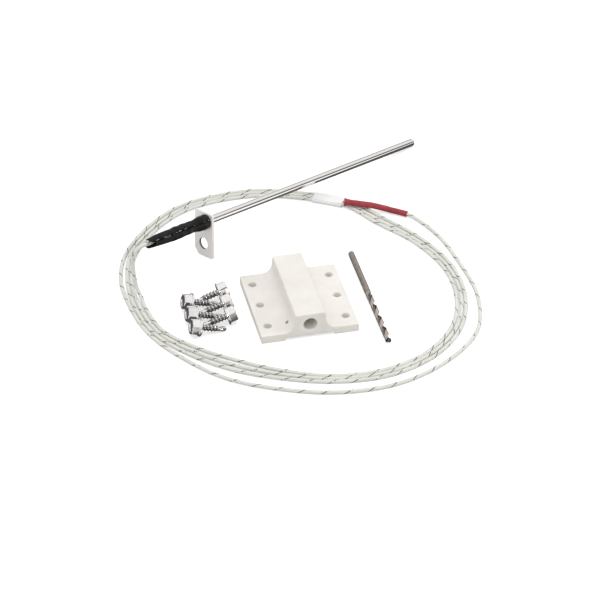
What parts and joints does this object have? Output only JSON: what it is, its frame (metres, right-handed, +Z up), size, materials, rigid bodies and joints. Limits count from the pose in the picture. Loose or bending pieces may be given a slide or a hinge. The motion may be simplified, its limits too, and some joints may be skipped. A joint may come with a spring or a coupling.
{
  "type": "flame sensor probe",
  "caption": "Steel-sheathed flame sensor probe with mounting plate and long braided lead, laid out with its ceramic mounting block, screws and drill bit.",
  "frame": {"origin": "on the table, under the centre of the kit's footprint, the lead not counted", "axes": "+X to the right across the mounting block, +Y away along the block's bore, +Z up from the table"},
  "size_m": [0.3038, 0.3544, 0.0479],
  "materials": {
    "polished_steel": "drawn and polished stainless, fine lines along the tube",
    "plate_steel": "warm grey matt stainless",
    "sensor_alloy": "bare alloy wire",
    "bead_ceramic": "matt alumina",
    "cement": "rough cement",
    "crimp_brass": "tinned brass",
    "black_shrink": "glossy black shrink sleeving, wrinkled",
    "glass_braid": "glass-fibre braid with a dark green tracer",
    "white_wrap": "thin white wrap",
    "red_sleeving": "coated red glass sleeving",
    "cast_ceramic": "off-white cast ceramic, slightly rough",
    "bronze_steel": "bronze-tinted high-speed steel, brighter flutes",
    "zinc_steel": "bright zinc plate"
  },
  "bodies": {
    "block": {"mounting_block": "cast_ceramic"},
    "probe": {"sheath_tube": "polished_steel", "tip_cap": "polished_steel", "sensing_junction": "sensor_alloy", "insulator_1": "bead_ceramic", "insulator_2": "bead_ceramic", "insulator_3": "bead_ceramic", "end_potting": "cement", "sensor_wire_a": "sensor_alloy", "sensor_wire_b": "sensor_alloy", "mounting_plate": "plate_steel", "braze_collar": "plate_steel", "splice_crimp_a": "crimp_brass", "splice_crimp_b": "crimp_brass", "lead_conductor_a": "sensor_alloy", "lead_conductor_b": "sensor_alloy", "heat_shrink_boot": "black_shrink", "lead_cable": "glass_braid", "label_wrap": "white_wrap", "red_sleeve": "red_sleeving", "lead_terminal": "crimp_brass"},
    "drill": {"drill_bit": "bronze_steel"},
    "loose_screw_1": {"screw_1": "zinc_steel"},
    "loose_screw_2": {"screw_2": "zinc_steel"},
    "loose_screw_3": {"screw_3": "zinc_steel"},
    "loose_screw_4": {"screw_4": "zinc_steel"},
    "loose_screw_5": {"screw_5": "zinc_steel"},
    "loose_screw_6": {"screw_6": "zinc_steel"}
  },
  "joints": [
    {"name": "probe_lift", "type": "slide", "parent": "block", "child": "probe", "axis": [0, 0, 1], "range_m": [0, 0.06]},
    {"name": "drill_lift", "type": "slide", "parent": "block", "child": "drill", "axis": [0, 0, 1], "range_m": [0, 0.06]},
    {"name": "screw_1_lift", "type": "slide", "parent": "block", "child": "loose_screw_1", "axis": [0, 0, 1], "range_m": [0, 0.06]},
    {"name": "screw_2_lift", "type": "slide", "parent": "block", "child": "loose_screw_2", "axis": [0, 0, 1], "range_m": [0, 0.06]},
    {"name": "screw_3_lift", "type": "slide", "parent": "block", "child": "loose_screw_3", "axis": [0, 0, 1], "range_m": [0, 0.06]},
    {"name": "screw_4_lift", "type": "slide", "parent": "block", "child": "loose_screw_4", "axis": [0, 0, 1], "range_m": [0, 0.06]},
    {"name": "screw_5_lift", "type": "slide", "parent": "block", "child": "loose_screw_5", "axis": [0, 0, 1], "range_m": [0, 0.06]},
    {"name": "screw_6_lift", "type": "slide", "parent": "block", "child": "loose_screw_6", "axis": [0, 0, 1], "range_m": [0, 0.06]}
  ]
}
